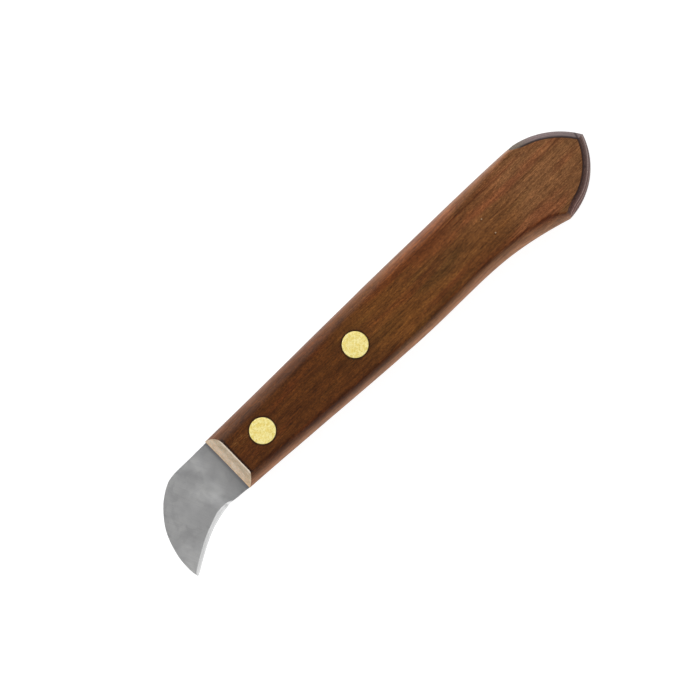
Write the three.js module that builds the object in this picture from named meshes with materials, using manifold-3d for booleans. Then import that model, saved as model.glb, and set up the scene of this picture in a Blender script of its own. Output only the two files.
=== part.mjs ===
// Whittling knife with a short hooked blade.
//
// Frame (millimetres): +X runs along the back of the knife from the blade to the butt,
// +Y points to the spine side, +Z is the thickness with the knife lying on its side.
// The origin is the middle of the handle's lower flat, so z = 0 is the resting plane.
//
// Pieces: a one-piece wooden handle with a saw kerf in its front part, a flat steel
// blade whose tang sits in the kerf, and two compression rivets of two halves each.

import * as THREE from 'three';
import { mergeVertices } from 'three/addons/utils/BufferGeometryUtils.js';
import Module from 'manifold-3d';

const wasm = await Module();
wasm.setup();

// ---------------------------------------------------------------- shared dimensions

const HANDLE_T = 11;              // thickness between the two flats
const MID = HANDLE_T / 2;         // height of the mid-plane
const FRONT_X = -62.47;           // front shoulder, where the wood meets the blade
const BLADE_T = 2.0;              // thickness of the blade stock
const CUT_OVER = 1;               // how far cutting tools reach past the flats

// Rivets: places x, y, then sizes
const RIVETS = { front: [-49.79, 1.65], rear: [-17.24, 0.95] };
const HEAD_R = 3.5;
const HEAD_T = 1.3;
const SHANK_R = 2.0;              // outside of the hollow shank
const RIVET_SEGMENTS = 44;

// ---------------------------------------------------------------- helpers

// Closed solid from a three.js geometry, with its faces turned outward.
function solid(geometry) {
  geometry.deleteAttribute('normal');
  geometry.deleteAttribute('uv');
  const merged = mergeVertices(geometry, 1e-5);
  const vertProperties = new Float32Array(merged.attributes.position.array);
  const corners = merged.index.array;
  const at = (i) => new THREE.Vector3().fromArray(vertProperties, 3 * i);
  const faces = [];
  let volume = 0;
  for (let i = 0; i < corners.length; i += 3) {
    const [a, b, c] = [corners[i], corners[i + 1], corners[i + 2]];
    if (a === b || b === c || c === a) continue;
    faces.push(a, b, c);
    volume += at(a).dot(at(b).cross(at(c)));
  }
  if (volume < 0) {
    for (let i = 0; i < faces.length; i += 3) {
      [faces[i], faces[i + 1]] = [faces[i + 1], faces[i]];
    }
  }
  const triVerts = new Uint32Array(faces);
  return new wasm.Manifold(new wasm.Mesh({ numProp: 3, vertProperties, triVerts }));
}

// Named mesh of a finished solid.
function piece(name, body, material) {
  const { vertProperties, triVerts } = body.getMesh();
  const geometry = new THREE.BufferGeometry();
  geometry.setAttribute('position', new THREE.Float32BufferAttribute(vertProperties, 3));
  geometry.setIndex(new THREE.Uint32BufferAttribute(triVerts, 1));
  geometry.computeVertexNormals();
  const mesh = new THREE.Mesh(geometry, material);
  mesh.name = name;
  return mesh;
}

const vectors = (points) => points.map((point) => new THREE.Vector2(...point));
const spline = (points) => new THREE.SplineCurve(vectors(points));

// Straight interpolation in a table of x, value.
function interpolate(points, x) {
  if (x <= points[0][0]) return points[0][1];
  for (let i = 1; i < points.length; i++) {
    const [x0, value0] = points[i - 1];
    const [x1, value1] = points[i];
    if (x <= x1) return value0 + ((value1 - value0) * (x - x0)) / (x1 - x0);
  }
  return points[points.length - 1][1];
}

// Function of x that follows a smooth curve through a table of x, value.
function smoothLine(points) {
  const line = spline(points).getPoints(400).map((point) => point.toArray());
  return (x) => interpolate(line, x);
}

// Cylinder along Z between two heights.
function rod(radius, x, y, z0, z1, segments = RIVET_SEGMENTS) {
  const geometry = new THREE.CylinderGeometry(radius, radius, z1 - z0, segments, 1);
  geometry.rotateX(Math.PI / 2);
  geometry.translate(x, y, (z0 + z1) / 2);
  return solid(geometry);
}

// Outline extruded along Z from z = 0.
function extrude(outline, depth) {
  return new THREE.ExtrudeGeometry(new THREE.Shape(vectors(outline)), {
    depth,
    bevelEnabled: false,
  });
}

// ---------------------------------------------------------------- handle

// Side lines at the mid-plane: x, y
const spineY = smoothLine([
  [FRONT_X, 9.99], [-45.97, 9.99], [-33.09, 10.08], [-22.78, 10.15], [-12.47, 10.2],
  [2.99, 10.18], [18.45, 10.1], [27.47, 10.05], [33.91, 9.97], [40.1, 9.84],
  [43.71, 9.74], [46.28, 9.59], [52, 9.15], [58, 8.6], [66, 7.8],
]);
const bellyY = smoothLine([
  [FRONT_X, -6.62], [-52.67, -7.16], [-43.4, -7.73], [-35.15, -8.24], [-28.97, -8.66],
  [-21.75, -9.1], [-15.57, -9.46], [-9.38, -9.76], [-3.2, -10.02], [4.02, -10.16],
  [10.72, -10.12], [15.87, -10.12], [20.51, -10.22], [25.67, -10.55], [29.79, -11.03],
  [33.91, -11.7], [38.04, -12.58], [42.16, -13.63], [45.64, -14.61], [50, -15.9],
  [58, -18.4], [66, -21],
]);

// Widths of the roundings along the side lines: x, width
const spineRound = smoothLine([
  [FRONT_X, 4.15], [-45, 3.95], [-17.5, 3.4], [3, 2.95], [20, 2.75], [32, 2.2],
  [40, 1.4], [47, 1.0], [66, 1.0],
]);
const bellyRound = smoothLine([
  [FRONT_X, 3.4], [-54, 3.0], [-42, 2.65], [-28, 2.45], [0, 2.55], [20, 2.7], [33, 3.0],
  [40.6, 3.3], [43.2, 2.8], [44.8, 2.25], [45.8, 2.0], [52, 2.0], [66, 2.0],
]);

const SPINE_FULLNESS = 2.3;       // 2 is an ellipse, more is squarer, 1 is a plain chamfer
const BELLY_FULLNESS = 1.3;
const BELLY_LAND = 0.17;          // share of the half thickness that stays upright on the belly
// Shares of the rounding's height, from the flat down to the mid-plane
const SPINE_STEPS = [1, 0.985, 0.94, 0.86, 0.74, 0.58, 0.4, 0.2, 0];
// Shares of the rounding's height, from the land up to the flat
const BELLY_STEPS = [0, 0.2, 0.4, 0.6, 0.78, 0.9, 0.97, 1];

// Butt: two barrel-shaped faces that meet in a point. Each has its axis at x, y, its
// radius at the mid-plane, and a crown: how far it leans in from there to the flats, as
// x, lean.
const BUTT_SPINE_FACE = { x: 43.36, y: -12.53, radius: 22.44, crown: [[40, 1.55], [66, 1.55]] };
const BUTT_BELLY_FACE = {
  x: 44.17,
  y: 4.92,
  radius: 19.39,
  crown: [
    [40, 1.9], [45.7, 1.9], [46.6, 2.25], [48.8, 2.6], [51.4, 2.4], [55.3, 2.2],
    [58.6, 2.0], [62.5, 1.75], [66, 1.75],
  ],
};
const BARREL_OVER = 0.5;          // how far the barrels reach past the flats

// Outline x, y of the region ahead of the butt, which the barrels leave uncut. The line
// from (50.5, 6.5) to (46.3, 9.65) is where the butt's rim leaves the spine.
const FRONT_REGION = [
  [-80, -40], [40, -40], [40, 0], [50.5, 6.5], [46.3, 9.65], [45.2, 10.4], [45.2, 20], [-80, 20],
];

const BEVEL_RUN = 3.1;            // length of each front bevel along the handle
const BEVEL_OVER = 1.5;           // how far the bevel's tool rises past the flat
const BEVEL_AHEAD = 3;            // how far it reaches ahead of the shoulder
const BEVEL_TOOL_W = 40;          // its width across the handle
const KERF = 2.1;                 // width of the saw kerf
const KERF_END = -6.9;            // x of the kerf's deepest point
const SAW_R = 110;                // radius of the saw that cuts the kerf
const SAW_SEGMENTS = 360;
const RIVET_GAP = 0.1;            // radial room of the heads and shanks in the wood
const HEAD_SINK = 0.05;           // extra depth of the head pockets

// Share of a rounding's width in from the side line, at a share of its height.
function roundShare(height, fullness) {
  return 1 - (1 - height ** fullness) ** (1 / fullness);
}

// Cross-section at x as y, z: belly rounding, upper flat and spine rounding, then the
// same mirrored through the mid-plane.
function handleRing(x) {
  const upper = [];               // y, height above the mid-plane
  for (const step of BELLY_STEPS) {
    upper.push([
      bellyY(x) + bellyRound(x) * roundShare(step, BELLY_FULLNESS),
      MID * (BELLY_LAND + (1 - BELLY_LAND) * step),
    ]);
  }
  for (const step of SPINE_STEPS) {
    upper.push([spineY(x) - spineRound(x) * roundShare(step, SPINE_FULLNESS), MID * step]);
  }
  const lower = upper.slice(0, -1).reverse();
  return [
    ...upper.map(([y, height]) => [y, MID + height]),
    ...lower.map(([y, height]) => [y, MID - height]),
  ];
}

// Handle before its ends are cut: a cylinder whose rings are moved to the cross-sections.
function handleBlank() {
  const stations = [];
  for (let x = FRONT_X; x < 12; x += 3.1) stations.push(x);
  for (let x = 12.5; x < 48; x += 1.75) stations.push(x);
  stations.push(52, 58, 66);
  const rings = stations.map(handleRing);
  const around = rings[0].length;
  const spans = stations.length - 1;
  const geometry = new THREE.CylinderGeometry(1, 1, 1, around, spans);
  const position = geometry.attributes.position;
  for (let i = 0; i < position.count; i++) {
    const row = Math.round((position.getY(i) + 0.5) * spans);
    const ring = rings[row];
    const isCapCentre = Math.hypot(position.getX(i), position.getZ(i)) < 0.5;
    if (isCapCentre) {
      const middleY = (ring[0][0] + ring[Math.floor(around / 2)][0]) / 2;
      position.setXYZ(i, stations[row], middleY, MID);
      continue;
    }
    const turn = Math.atan2(position.getX(i), position.getZ(i)) / (2 * Math.PI);
    const [y, z] = ring[(Math.round(turn * around) + around) % around];
    position.setXYZ(i, stations[row], y, z);
  }
  return solid(geometry);
}

// Barrel with its axis along Z: full radius at the mid-plane, smaller at both flats.
function barrel({ x, y, radius, crown }) {
  const low = -BARREL_OVER;
  const high = HANDLE_T + BARREL_OVER;
  const steps = 12;
  const profile = [[0, low]];
  for (let i = 0; i <= steps; i++) profile.push([radius, low + ((high - low) * i) / steps]);
  profile.push([0, high]);
  const geometry = new THREE.LatheGeometry(vectors(profile), 144);
  geometry.rotateX(Math.PI / 2);
  const position = geometry.attributes.position;
  for (let i = 0; i < position.count; i++) {
    const [localX, localY, z] = [position.getX(i), position.getY(i), position.getZ(i)];
    const away = Math.hypot(localX, localY);
    let scale = 1;
    if (away > radius / 2) {
      const lean = interpolate(crown, x + localX) * ((z - MID) / MID) ** 2;
      scale = (radius - lean) / away;
    }
    position.setXYZ(i, x + localX * scale, y + localY * scale, z);
  }
  return solid(geometry);
}

// Wedge that takes a front bevel off one side; sign +1 is the upper side.
function frontWedge(sign) {
  const low = BLADE_T / 2;
  const rise = MID - low;
  const high = low + rise + BEVEL_OVER;
  const reach = (BEVEL_RUN * (rise + BEVEL_OVER)) / rise;
  const outline = [             // x, height above the mid-plane
    [FRONT_X - BEVEL_AHEAD, low],
    [FRONT_X, low],
    [FRONT_X + reach, high],
    [FRONT_X - BEVEL_AHEAD, high],
  ];
  const geometry = extrude(outline, BEVEL_TOOL_W);
  geometry.rotateX(Math.PI / 2);
  geometry.scale(1, 1, sign);
  geometry.translate(0, BEVEL_TOOL_W / 2, MID);
  return solid(geometry);
}

function makeHandle() {
  const low = -CUT_OVER;
  const high = HANDLE_T + CUT_OVER;
  const front = solid(extrude(FRONT_REGION, high - low).translate(0, 0, low));
  const butt = barrel(BUTT_SPINE_FACE).intersect(barrel(BUTT_BELLY_FACE));
  const kerf = rod(SAW_R, KERF_END - SAW_R, 0, MID - KERF / 2, MID + KERF / 2, SAW_SEGMENTS);
  let body = handleBlank()
    .intersect(front.add(butt))
    .subtract(frontWedge(1))
    .subtract(frontWedge(-1))
    .subtract(kerf);
  const pocket = HEAD_T + HEAD_SINK;
  for (const [x, y] of Object.values(RIVETS)) {
    body = body
      .subtract(rod(SHANK_R + RIVET_GAP, x, y, low, high))
      .subtract(rod(HEAD_R + RIVET_GAP, x, y, low, pocket))
      .subtract(rod(HEAD_R + RIVET_GAP, x, y, HANDLE_T - pocket, high));
  }
  return body;
}

// ---------------------------------------------------------------- blade

const TANG_T = 1.96;              // thickness of the tang after fitting
const TANG_END = -7.5;            // x of the tang's rear end
const TANG_INSET = 0.3;           // the tang lies this far inside the spine and belly lines
const TANG_CORNER = 1.2;          // rounding of the tang's two end corners
const TANG_BORE_GAP = 0.15;       // radial room of the shanks in the tang
const TANG_STEP = 0.02;           // length over which the tang steps up to the full stock

const EDGE_LAND = 0.06;           // flat left at the very edge
const BEVEL_W = 1.0;              // width of the sharpened bevel
const BLUNT_W = 0.3;              // width of the last strip where there is no bevel
const BEVEL_FADE = 0.085;         // share of the hook over which the bevel grows in

// Primary grind: it deepens from a line through START, at right angles to DIRECTION.
const GRIND = 0.6;                // most taken off each side
const GRIND_START = [-76.1, 9.5];
const GRIND_DIRECTION = [-0.376, -0.926];
const GRIND_REACH = 17.2;         // distance from the line to the full depth
const PLUNGE_START = -68;         // x where the grind begins to sink in
const PLUNGE_END = -71.8;         // x where it is fully in

const BLADE_TOP = 9.69;           // y of the straight part of the back
const BLADE_TIP = [-87.77, -13.74];
const SHOULDER_LINE = [           // blunt lower side behind the choil, x, y
  [FRONT_X, -6.52], [-64, -6.34], [-66, -6.2],
];
const HOOK_BACK = [               // back of the hooked part to the tip, x, y
  [-68, BLADE_TOP], [-73.0, BLADE_TOP], [-74.32, 9.61], [-75.35, 9.46], [-76.2, 9.24],
  [-77.77, 8.5], [-79.01, 7.75], [-81.07, 6.18], [-82.6, 4.64], [-83.91, 3.06],
  [-85.0, 1.55], [-85.88, 0], [-86.54, -1.5], [-87.1, -3.09], [-87.54, -4.64],
  [-87.9, -6.18], [-88.13, -7.73], [-88.23, -9.3], [-88.24, -10.7], [-88.12, -12.2],
  BLADE_TIP,
];
const HOOK_EDGE = [               // cutting edge from the choil to the tip, x, y
  [-67.88, -5.98], [-69.17, -6.0], [-70.48, -6.18], [-72, -6.44], [-74.45, -7.04],
  [-76.67, -7.77], [-78.44, -8.5], [-79.94, -9.23], [-81.38, -10.0], [-82.64, -10.72],
  [-83.93, -11.48], [-85.17, -12.22], [-86.48, -13.02], BLADE_TIP,
];
const HOOK_STEPS = 34;
const HOOK_SHARE = 0.997;         // the rows stop just short of the tip

const CORNER_STEPS = [0, 0.08, 0.3, 0.6, 1];      // shares of the tang's corner rounding
const ACROSS_STEPS = [0, 0.22, 0.5, 0.78, 1];     // shares from the back to the bevel

const { smoothstep } = THREE.MathUtils;

// Half thickness ahead of the tang: it tapers from the back to the edge, and the grind
// runs out in a soft plunge before the shoulder.
function groundHalf(x, y) {
  const distance =
    GRIND_DIRECTION[0] * (x - GRIND_START[0]) + GRIND_DIRECTION[1] * (y - GRIND_START[1]);
  const depth = Math.min(1, Math.max(0, distance) / GRIND_REACH);
  const plunge = smoothstep(-x, -PLUNGE_START, -PLUNGE_END);
  return BLADE_T / 2 - GRIND * plunge * depth;
}

// Cross rows from the tang's end to the tip: back point, edge point, sharpness of the
// edge from 0 to 1, and the half thickness where it is not the ground one.
function bladeRows() {
  const rows = [];
  const addTang = (x, back, edge) => {
    rows.push({ back: [x, back], edge: [x, edge], sharp: 0, half: TANG_T / 2 });
  };
  const addInset = (x, inset) => addTang(x, spineY(x) - inset, bellyY(x) + inset);

  for (const share of CORNER_STEPS) {
    const along = TANG_CORNER * share;
    const drop = TANG_CORNER - Math.sqrt(TANG_CORNER ** 2 - (TANG_CORNER - along) ** 2);
    addInset(TANG_END - along, TANG_INSET + drop);
  }
  for (let x = TANG_END - 6; x > FRONT_X + 1.5; x -= 3.4) addInset(x, TANG_INSET);
  addTang(FRONT_X + TANG_STEP, BLADE_TOP, SHOULDER_LINE[0][1]);

  for (const [x, y] of SHOULDER_LINE) rows.push({ back: [x, BLADE_TOP], edge: [x, y], sharp: 0 });

  const back = spline(HOOK_BACK);
  const edge = spline(HOOK_EDGE);
  for (let i = 0; i <= HOOK_STEPS; i++) {
    const share = (i / HOOK_STEPS) * HOOK_SHARE;
    rows.push({
      back: back.getPointAt(share).toArray(),
      edge: edge.getPointAt(share).toArray(),
      sharp: smoothstep(share, 0, BEVEL_FADE),
    });
  }
  return rows;
}

// Blade: a box grid whose columns are moved onto the cross rows.
function makeBlade() {
  const rows = bladeRows();
  const rowSpans = rows.length - 1;
  const edgeColumn = ACROSS_STEPS.length;
  const geometry = new THREE.BoxGeometry(1, 1, 1, rowSpans, edgeColumn, 1);
  const position = geometry.attributes.position;
  for (let i = 0; i < position.count; i++) {
    const row = rows[Math.round((position.getX(i) + 0.5) * rowSpans)];
    const column = Math.round((0.5 - position.getY(i)) * edgeColumn);
    const side = Math.sign(position.getZ(i));
    const [backX, backY] = row.back;
    const [edgeX, edgeY] = row.edge;
    const bevel = BLUNT_W + (BEVEL_W - BLUNT_W) * row.sharp;
    const bevelStart = Math.max(0.5, 1 - bevel / Math.hypot(edgeX - backX, edgeY - backY));
    const share = column < edgeColumn ? ACROSS_STEPS[column] * bevelStart : 1;
    const x = backX + (edgeX - backX) * share;
    const y = backY + (edgeY - backY) * share;
    let half = row.half ?? groundHalf(x, y);
    if (column === edgeColumn) half += row.sharp * (EDGE_LAND / 2 - half);
    position.setXYZ(i, x, y, MID + side * half);
  }
  let body = solid(geometry);
  for (const [x, y] of Object.values(RIVETS)) {
    body = body.subtract(rod(SHANK_R + TANG_BORE_GAP, x, y, 0, HANDLE_T));
  }
  return body;
}

// ---------------------------------------------------------------- rivets

const BORE_R = 1.45;                        // bore of the hollow shank
const PIN_R = 1.4;                          // solid shank
const SHANK_TOP = HANDLE_T - HEAD_T - 0.5;  // the hollow shank ends 0.5 short of the male head
const PIN_END = HANDLE_T - 2.2;             // the pin ends 2.2 above the resting plane

// Profiles of radius and height, measured from the outer face of the head
const HEAD_PROFILE = [
  [0, 0], [HEAD_R - 0.12, 0], [HEAD_R, 0.12], [HEAD_R, HEAD_T - 0.1], [HEAD_R - 0.1, HEAD_T],
];

// Head with a hollow shank, from the lower side.
const FEMALE_PROFILE = [
  ...HEAD_PROFILE,
  [SHANK_R, HEAD_T], [SHANK_R, SHANK_TOP - 0.15], [SHANK_R - 0.15, SHANK_TOP],
  [BORE_R + 0.1, SHANK_TOP], [BORE_R, SHANK_TOP - 0.1], [BORE_R, 1.6], [0, 1.0],
];

// Head with a solid shank that is pressed into the hollow one, from the upper side.
const MALE_PROFILE = [
  ...HEAD_PROFILE,
  [PIN_R, HEAD_T], [PIN_R, PIN_END - 0.4], [PIN_R - 0.4, PIN_END], [0, PIN_END],
];

// Turned rivet half with its head in the lower flat, or in the upper one.
function makeRivetHalf(profile, [x, y], { fromTop }) {
  const geometry = new THREE.LatheGeometry(vectors(profile), RIVET_SEGMENTS);
  geometry.rotateX(fromTop ? -Math.PI / 2 : Math.PI / 2);
  geometry.translate(x, y, fromTop ? HANDLE_T : 0);
  return solid(geometry);
}

// ---------------------------------------------------------------- assembly

const wood = new THREE.MeshStandardMaterial({ color: 0x6b3f20, roughness: 0.5, metalness: 0 });
const steel = new THREE.MeshStandardMaterial({ color: 0x9a9a9a, roughness: 0.38, metalness: 1 });
const brass = new THREE.MeshStandardMaterial({ color: 0xd9c46a, roughness: 0.35, metalness: 1 });

const knife = new THREE.Group();
knife.name = 'whittling_knife';

knife.add(piece('handle', makeHandle(), wood));
knife.add(piece('blade', makeBlade(), steel));
for (const [name, place] of Object.entries(RIVETS)) {
  const female = makeRivetHalf(FEMALE_PROFILE, place, { fromTop: false });
  const male = makeRivetHalf(MALE_PROFILE, place, { fromTop: true });
  knife.add(piece(`${name}_rivet_female`, female, brass));
  knife.add(piece(`${name}_rivet_male`, male, brass));
}

export default knife;
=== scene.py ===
"""Knife with a wooden handle, a steel blade let into a sawn slot, and two brass rivets.

The knife lies flat on the ground, its thickness along Z. The blade points to -X and the butt of
the handle to +X. The spine is on the +Y side, the belly and the cutting edge on the -Y side.
"""

import math
from collections import namedtuple

import bmesh
import bpy
import numpy as np
from mathutils import Matrix, Vector, noise


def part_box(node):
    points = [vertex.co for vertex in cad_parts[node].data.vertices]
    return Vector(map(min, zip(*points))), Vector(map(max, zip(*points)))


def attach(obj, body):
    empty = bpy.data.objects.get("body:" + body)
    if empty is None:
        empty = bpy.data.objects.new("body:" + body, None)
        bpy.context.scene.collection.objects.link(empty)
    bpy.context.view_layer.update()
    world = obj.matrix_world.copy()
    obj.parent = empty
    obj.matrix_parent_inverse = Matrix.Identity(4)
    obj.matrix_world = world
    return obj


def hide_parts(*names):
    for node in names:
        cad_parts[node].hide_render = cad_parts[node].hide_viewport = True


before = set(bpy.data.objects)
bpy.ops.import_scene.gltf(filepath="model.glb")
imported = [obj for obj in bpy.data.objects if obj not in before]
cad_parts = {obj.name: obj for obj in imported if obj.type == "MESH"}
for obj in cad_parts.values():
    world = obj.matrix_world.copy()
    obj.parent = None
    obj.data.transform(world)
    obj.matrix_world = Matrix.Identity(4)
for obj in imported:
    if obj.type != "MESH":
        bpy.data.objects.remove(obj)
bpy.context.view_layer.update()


# Lengths below are millimetres in the part's own frame; meshes are made in metres.
MM = 0.001

handle_low, handle_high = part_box("handle")
FRONT_X = handle_low.x / MM - 0.034   # shoulder of the wood, where the bevel meets the blade
HALF = (handle_high.z - handle_low.z) / MM / 2     # half thickness of the handle
MID = (handle_high.z + handle_low.z) / MM / 2      # height of the mid-plane
TOP = 2 * MID
RIVETS = {}                           # centre of each rivet in plan
for where in ("front", "rear"):
    low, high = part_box(where + "_rivet_male")
    RIVETS[where] = ((low.x + high.x) / MM / 2, (low.y + high.y) / MM / 2)

# ------------------------------------------------------------------ handle dimensions

# outlines at mid-height: x, y
SPINE = [
    (-62.47, 9.99), (-45.97, 9.99), (-33.09, 10.08), (-22.78, 10.15), (-12.47, 10.2),
    (2.99, 10.18), (18.45, 10.1), (27.47, 10.05), (33.91, 9.97), (40.1, 9.84),
    (43.71, 9.74), (46.28, 9.59), (52, 9.15), (58, 8.6), (66, 7.8),
]
BELLY = [
    (-62.47, -6.62), (-52.67, -7.16), (-43.4, -7.73), (-35.15, -8.24), (-28.97, -8.66),
    (-21.75, -9.1), (-15.57, -9.46), (-9.38, -9.76), (-3.2, -10.02), (4.02, -10.16),
    (10.72, -10.12), (15.87, -10.12), (20.51, -10.22), (25.67, -10.55), (29.79, -11.03),
    (33.91, -11.7), (38.04, -12.58), (42.16, -13.63), (45.64, -14.61), (50, -15.9),
    (58, -18.4), (66, -21),
]
# width in plan of the rounding from mid-height to the flat: x, width
SPINE_ROUND = [
    (-62.47, 4.15), (-45, 3.95), (-17.5, 3.4), (3, 2.95), (20, 2.75), (32, 2.2),
    (40, 1.4), (47, 1.0), (66, 1.0),
]
BELLY_ROUND = [
    (-62.47, 3.4), (-54, 3.0), (-42, 2.65), (-28, 2.45), (0, 2.55), (20, 2.7), (33, 3.0),
    (40.6, 3.3), (43.2, 2.8), (44.8, 2.25), (45.8, 2.0), (52, 2.0), (66, 2.0),
]
# how far each butt face leans in at the flat: x, distance
UPPER_CROWN = [(45, 0.25), (46.3, 0.7), (47.5, 1.2), (49.0, 1.52), (52, 1.57), (66, 1.57)]
LOWER_CROWN = [
    (40, 1.9), (45.7, 1.9), (46.6, 2.25), (48.8, 2.6), (51.4, 2.4), (55.3, 2.2),
    (58.6, 2.0), (62.5, 1.75), (66, 1.75),
]
SPINE_FULLNESS = 2.3   # exponent of the superellipse of each rounding
BELLY_FULLNESS = 1.3
BELLY_LAND = 0.17      # share of the half thickness where the belly stays upright
TAKE_OFF_X = 46.3      # where the upper side goes over into the upper butt face
BEVEL_RUN = 3.1        # length of the front bevels along X
ARRIS = 0.16           # half width of the rounded arris

LEVELS = 15            # height levels of the bands up to the rounded arris
SIDE_ROWS = 176
RIM_ROWS = 56
ACROSS = 34

# saw slot that takes the tang
KERF_HALF = 1.05
KERF_END = -6.9
SAW_R = 110.0

# ------------------------------------------------------------------ blade dimensions

BLADE_HALF = 1.0
# outlines from the ricasso to the tip: x, y
BLADE_BACK = [
    (-68, 9.69), (-73.0, 9.69), (-74.32, 9.61), (-75.35, 9.46), (-76.2, 9.24),
    (-77.77, 8.5), (-79.01, 7.75), (-81.07, 6.18), (-82.6, 4.64), (-83.91, 3.06),
    (-85.0, 1.55), (-85.88, 0), (-86.54, -1.5), (-87.1, -3.09), (-87.54, -4.64),
    (-87.9, -6.18), (-88.13, -7.73), (-88.23, -9.3), (-88.24, -10.7), (-88.12, -12.2),
    (-87.77, -13.74),
]
BLADE_EDGE = [
    (-67.88, -5.98), (-69.17, -6.0), (-70.48, -6.18), (-72, -6.44), (-74.45, -7.04),
    (-76.67, -7.77), (-78.44, -8.5), (-79.94, -9.23), (-81.38, -10.0), (-82.64, -10.72),
    (-83.93, -11.48), (-85.17, -12.22), (-86.48, -13.02), (-87.77, -13.74),
]
BACK_Y = BLADE_BACK[0][1]
SHOULDER_Y = -6.52
# lower outline of the ricasso: x, y
RICASSO = [BLADE_EDGE[0], (-66.8, -6.12), (-66, -6.2), (-64, -6.34), (-62.47, SHOULDER_Y)]
TANG_END = -7.5
TANG_INSET = 0.3       # from the outline of the handle
TANG_CORNER = 1.2
TANG_HALF = 0.98
GRIND = 0.6            # thickness ground off each face by the edge
STOCK_CORNER = 0.10    # softened corner of the stock
EDGE_HALF = 0.012
PLAIN_WIDTH = 0.3      # strip along the lower edge where nothing is sharpened
SHARP_FROM = 0.07      # share of the edge over which the sharpening comes in
# width of the sharpened bevel: share of the edge from the ricasso, width
BEVEL_WIDTH = [
    (0, 0.1), (0.03, 0.55), (0.07, 0.85), (0.15, 1.15), (0.22, 1.35), (0.3, 1.2),
    (0.38, 1.05), (0.9, 0.98), (1.0, 0.7),
]

# ------------------------------------------------------------------ rivet dimensions

HEAD_R = 3.5
HEAD_T = 1.3
SHANK_R = 2.0
BORE_R = 1.45
PIN_R = 1.4
SHANK_TOP = TOP - HEAD_T - 0.5
PIN_END = TOP - 2.2

# ------------------------------------------------------------------ curves


def catmull(points, steps=600):
    """Smooth curve through the points."""
    knots = np.array(points, float)
    t = np.linspace(0, len(knots) - 1, steps + 1)
    i = np.minimum(t.astype(int), len(knots) - 2)
    w = (t - i)[:, None]
    before, start = knots[np.maximum(i - 1, 0)], knots[i]
    end, after = knots[i + 1], knots[np.minimum(i + 2, len(knots) - 1)]
    slope_in, slope_out = (end - before) / 2, (after - start) / 2
    return (
        (2 * start - 2 * end + slope_in + slope_out) * w**3
        + (-3 * start + 3 * end - 2 * slope_in - slope_out) * w**2
        + slope_in * w
        + start
    )


def line(points):
    """Function of x that follows the smooth curve through the points."""
    curve = catmull(points)
    return lambda x: np.interp(x, curve[:, 0], curve[:, 1])


def table(points):
    """Function of x with straight pieces between the points."""
    knots = np.array(points, float)
    return lambda x: np.interp(x, knots[:, 0], knots[:, 1])


def by_length(points, shares):
    """Points at given shares of the length of the smooth curve."""
    curve = catmull(points, 1200)
    way = np.concatenate([[0], np.cumsum(np.hypot(*np.diff(curve, axis=0).T))])
    at = np.array(shares) * way[-1]
    return np.stack([np.interp(at, way, curve[:, 0]), np.interp(at, way, curve[:, 1])], 1)


def smoothstep(start, end, value):
    s = np.clip((value - start) / (end - start), 0, 1)
    return s * s * (3 - 2 * s)


spine_y, belly_y = line(SPINE), line(BELLY)
spine_round, belly_round = line(SPINE_ROUND), line(BELLY_ROUND)

# ------------------------------------------------------------------ mesh helpers


def mesh_from(name, verts, faces, mats):
    """Object from points in mm, with doubled points merged and flattened faces dropped."""
    points = np.round(np.array(verts, float), 5)
    unique, inverse = np.unique(points, axis=0, return_inverse=True)
    inverse = inverse.reshape(-1)
    kept, kept_mats = [], []
    for face, mat in zip(faces, mats):
        ring = []
        for i in face:
            k = int(inverse[i])
            if not ring or (ring[-1] != k and ring[0] != k):
                ring.append(k)
        if len(ring) >= 3 and len(set(ring)) == len(ring):
            kept.append(ring)
            kept_mats.append(int(mat))
    mesh = bpy.data.meshes.new(name)
    mesh.from_pydata([tuple(p * MM) for p in unique], [], kept)
    mesh.polygons.foreach_set("material_index", kept_mats)
    bm = bmesh.new()
    bm.from_mesh(mesh)
    bmesh.ops.recalc_face_normals(bm, faces=bm.faces[:])
    bm.to_mesh(mesh)
    bm.free()
    mesh.update()
    ob = bpy.data.objects.new(name, mesh)
    bpy.context.scene.collection.objects.link(ob)
    return ob


class Builder:
    """Collects points, faces and the material index of each face."""

    def __init__(self):
        self.verts, self.faces, self.mats = [], [], []

    def grid(self, pts, mat=0):
        """Quads over a grid of points of shape (rows, columns, 3)."""
        rows, columns = pts.shape[:2]
        base = len(self.verts)
        self.verts.extend(pts.reshape(-1, 3).tolist())
        for i in range(rows - 1):
            for j in range(columns - 1):
                a = base + i * columns + j
                self.faces.append((a, a + 1, a + columns + 1, a + columns))
                self.mats.append(mat)


def lathe(name, profile, centre, z0=0.0, segments=96, flip=False):
    """Turned solid about a vertical axis; (radius, height) points start and end on the axis."""
    radius, height = np.array(profile, float).T
    ang = np.linspace(0, 2 * np.pi, segments + 1)
    pts = np.zeros((len(ang), len(radius), 3))
    pts[:, :, 0] = centre[0] + np.cos(ang)[:, None] * radius[None, :]
    pts[:, :, 1] = centre[1] + np.sin(ang)[:, None] * radius[None, :]
    pts[-1] = pts[0]
    pts[:, :, 2] = z0 - height if flip else z0 + height
    build = Builder()
    build.grid(pts)
    return mesh_from(name, build.verts, build.faces, build.mats)


def apply_modifiers(ob):
    deps = bpy.context.evaluated_depsgraph_get()
    mesh = bpy.data.meshes.new_from_object(ob.evaluated_get(deps))
    ob.modifiers.clear()
    old = ob.data
    ob.data = mesh
    bpy.data.meshes.remove(old)


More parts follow.
